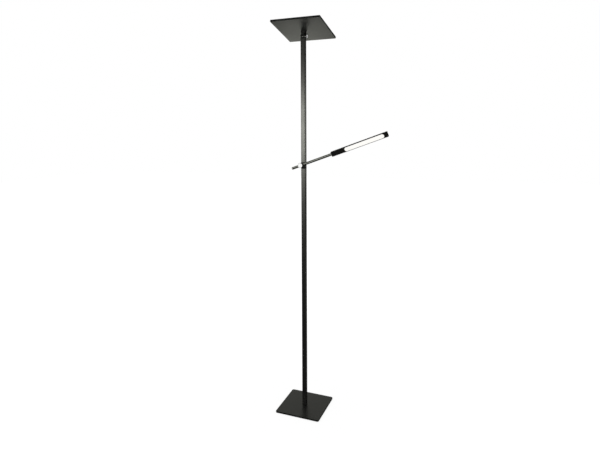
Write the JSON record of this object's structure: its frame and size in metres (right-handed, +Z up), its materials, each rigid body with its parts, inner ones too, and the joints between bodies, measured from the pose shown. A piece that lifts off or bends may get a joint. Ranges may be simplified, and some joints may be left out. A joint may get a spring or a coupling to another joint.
{
  "type": "torchiere floor lamp",
  "caption": "Torchiere floor lamp: a flat square uplight tilting on top of a square pole with a flat square base, and a reading light on a rod that swings, tilts and rolls.",
  "frame": {"origin": "centre of the base's underside, on the floor, on the pole's axis", "axes": "+Z up along the pole, -Y the lamp's front, +X the side the reading arm points to at rest"},
  "size_m": [0.5088, 0.2299, 1.8363],
  "materials": {
    "black_steel": "satin black powder coat",
    "black_aluminium": "satin black coating on aluminium",
    "black_gloss": "gloss black",
    "satin_silver": "satin silver",
    "satin_steel": "satin black nickel",
    "zinc_steel": "zinc plated",
    "pad_rubber": "matt",
    "black_nylon": "matt",
    "lead_sheath": "matt",
    "opal": "opal, light-diffusing",
    "white_board": "white solder resist",
    "led_phosphor": "yellow phosphor"
  },
  "bodies": {
    "stand": {"base_plate": "black_steel", "base_pad": "pad_rubber", "base_bolt": "zinc_steel", "base_washer": "zinc_steel", "pole_foot_plug": "zinc_steel", "pole_lower": "black_steel", "pole_upper": "black_steel", "pole_grub_screws": "zinc_steel", "pole_lead": "lead_sheath", "cord_gland": "pad_rubber", "swivel_post": "zinc_steel", "upper_pole_plug": "zinc_steel", "lower_slip_washer": "black_nylon", "upper_slip_washer": "black_nylon", "pole_fork": "black_steel", "tilt_washers": "black_nylon", "tilt_cap_nut": "satin_steel"},
    "arm_swivel": {"swivel_block": "black_nylon", "clamp_stud": "zinc_steel", "friction_ring": "black_nylon"},
    "reading_arm": {"clamp_barrel": "black_aluminium", "barrel_inlay": "satin_silver", "clamp_grub_screws": "zinc_steel", "arm_rod": "satin_steel", "rod_tail_plug": "satin_steel", "head_journal": "satin_steel", "journal_nut": "zinc_steel", "arm_wire": "lead_sheath"},
    "reading_head": {"reading_housing": "black_aluminium", "reading_bezel": "black_aluminium", "reading_diffuser": "opal", "reading_led_board": "white_board", "reading_leds": "led_phosphor", "dimmer_board": "white_board"},
    "uplight_head": {"head_tray": "black_aluminium", "head_diffuser": "opal", "head_led_board": "white_board", "head_leds": "led_phosphor", "head_board_screws": "zinc_steel", "neck_block": "black_aluminium", "neck_screws": "zinc_steel"},
    "tilt_knob": {"tilt_knob": "black_gloss", "knob_inlay": "satin_silver", "tilt_stud": "zinc_steel"}
  },
  "joints": [
    {"name": "arm_swing", "type": "hinge", "parent": "stand", "child": "arm_swivel", "pos_m": [0, 0, 1.2174], "axis": [0, 0, 1], "range_deg": [-165, 165]},
    {"name": "arm_tilt", "type": "hinge", "parent": "arm_swivel", "child": "reading_arm", "pos_m": [0, -0.032, 1.2174], "axis": [0, -1, 0], "range_deg": [-109.55, 70.45]},
    {"name": "reading_roll", "type": "hinge", "parent": "reading_arm", "child": "reading_head", "pos_m": [0, -0.032, 1.2174], "axis": [0.9423, 0, 0.3346], "range_deg": [-20, 160]},
    {"name": "uplight_tilt", "type": "hinge", "parent": "stand", "child": "uplight_head", "pos_m": [0, 0, 1.778], "axis": [1, 0, 0], "range_deg": [-62.7, 87.3]},
    {"name": "knob_turn", "type": "hinge", "parent": "stand", "child": "tilt_knob", "pos_m": [0, 0, 1.778], "axis": [1, 0, 0], "range_deg": [-180, 180]}
  ]
}
